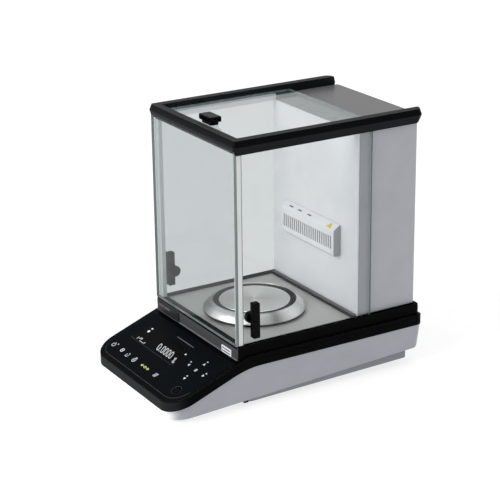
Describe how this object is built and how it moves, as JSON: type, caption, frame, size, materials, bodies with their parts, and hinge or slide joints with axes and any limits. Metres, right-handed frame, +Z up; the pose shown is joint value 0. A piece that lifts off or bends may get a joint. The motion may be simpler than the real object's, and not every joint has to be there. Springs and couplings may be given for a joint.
{
  "type": "analytical balance",
  "caption": "Analytical balance: sloping touch console, round pan with a draught ring in a glass shield with sliding side and top doors, ionizer on the back wall, levelling feet.",
  "frame": {"origin": "centre of the bounding box's footprint, on the bench", "axes": "+Z up, -Y towards the console and the user, +X to the balance's right hand side as the user sees it"},
  "size_m": [0.2198, 0.3676, 0.345],
  "materials": {
    "black_plastic": "satin black",
    "touch_film": "gloss black film",
    "grey_paint": "satin light grey paint",
    "dark_grey_plastic": "matt dark grey",
    "silver_paint": "satin silver paint",
    "white_plastic": "matt white",
    "brushed_steel": "brushed",
    "clear_glass": "clear, polished edges",
    "display_glass": "gloss black",
    "aluminium": "machined",
    "brass": "machined",
    "circuit_board": "green laminate",
    "rubber": "matt black"
  },
  "bodies": {
    "root": {"back_wall": "white_plastic", "band_label": "black_plastic", "band_plaque": "white_plastic", "base_cover": "black_plastic", "board_bracket": "aluminium", "bottom_plate": "dark_grey_plastic", "cell_bracket": "aluminium", "corner_post_left": "white_plastic", "corner_post_right": "white_plastic", "display_module": "circuit_board", "display_window": "display_glass", "electrode_bar": "black_plastic", "floor_plate": "brushed_steel", "foot_insert_left": "brass", "foot_insert_right": "brass", "force_cell": "aluminium", "front_band": "dark_grey_plastic", "front_foot_left": "rubber", "front_foot_right": "rubber", "front_glass": "clear_glass", "glass_runner_left": "white_plastic", "glass_runner_right": "white_plastic", "housing_screw_1": "brushed_steel", "housing_screw_2": "brushed_steel", "housing_screw_3": "brushed_steel", "housing_screw_4": "brushed_steel", "ionizer_cover": "white_plastic", "ionizer_supply": "dark_grey_plastic", "level_lens": "clear_glass", "level_vial": "brass", "lifter_motor": "aluminium", "lower_case": "grey_paint", "main_board": "circuit_board", "pan_stem": "brushed_steel", "port_plate": "black_plastic", "power_inlet": "black_plastic", "rear_housing": "silver_paint", "serial_port": "brushed_steel", "top_cover": "dark_grey_plastic", "top_frame": "black_plastic", "touch_panel": "touch_film", "usb_port": "brushed_steel", "wall_seal": "rubber"},
    "door_left": {"door_glass_left": "clear_glass", "door_handle_left": "black_plastic", "door_boss_left": "black_plastic"},
    "door_right": {"door_glass_right": "clear_glass", "door_handle_right": "black_plastic", "door_boss_right": "black_plastic"},
    "top_door": {"top_glass": "clear_glass", "top_grip": "black_plastic"},
    "pan": {"weighing_pan": "brushed_steel"},
    "ring": {"draft_ring": "brushed_steel"},
    "foot_left": {"foot_pad_left": "rubber"},
    "foot_right": {"foot_pad_right": "rubber"},
    "foot_left_screw": {"foot_screw_left": "brushed_steel"},
    "foot_right_screw": {"foot_screw_right": "brushed_steel"},
    "calibration_lifter": {"lifter_fork": "black_plastic", "calibration_weight": "brass"}
  },
  "joints": [
    {"name": "door_left_slide", "type": "slide", "parent": "root", "child": "door_left", "axis": [0, 1, 0], "range_m": [0, 0.135]},
    {"name": "door_right_slide", "type": "slide", "parent": "root", "child": "door_right", "axis": [0, 1, 0], "range_m": [0, 0.135]},
    {"name": "top_door_slide", "type": "slide", "parent": "root", "child": "top_door", "axis": [0, 1, 0], "range_m": [0, 0.145]},
    {"name": "pan_lift", "type": "slide", "parent": "root", "child": "pan", "axis": [0, 0, 1], "range_m": [0, 0.1]},
    {"name": "ring_lift", "type": "slide", "parent": "root", "child": "ring", "axis": [0, 0, 1], "range_m": [0, 0.06]},
    {"name": "foot_left_extend", "type": "slide", "parent": "root", "child": "foot_left", "axis": [0, 0, -1], "range_m": [0, 0.005]},
    {"name": "foot_left_turn", "type": "hinge", "parent": "foot_left", "child": "foot_left_screw", "pos_m": [-0.052, 0.14675, 0.0033], "axis": [0, 0, 1], "range_deg": [0, 1800]},
    {"name": "foot_right_extend", "type": "slide", "parent": "root", "child": "foot_right", "axis": [0, 0, -1], "range_m": [0, 0.005]},
    {"name": "foot_right_turn", "type": "hinge", "parent": "foot_right", "child": "foot_right_screw", "pos_m": [0.052, 0.14675, 0.0033], "axis": [0, 0, 1], "range_deg": [0, 1800]},
    {"name": "calibration_lower", "type": "slide", "parent": "root", "child": "calibration_lifter", "axis": [0, 0, -1], "range_m": [0, 0.004]}
  ],
  "couplings": [
    {"joint": "foot_left_turn", "follows": "foot_left_extend", "rad_per_m": 6283.2},
    {"joint": "foot_right_turn", "follows": "foot_right_extend", "rad_per_m": 6283.2}
  ]
}
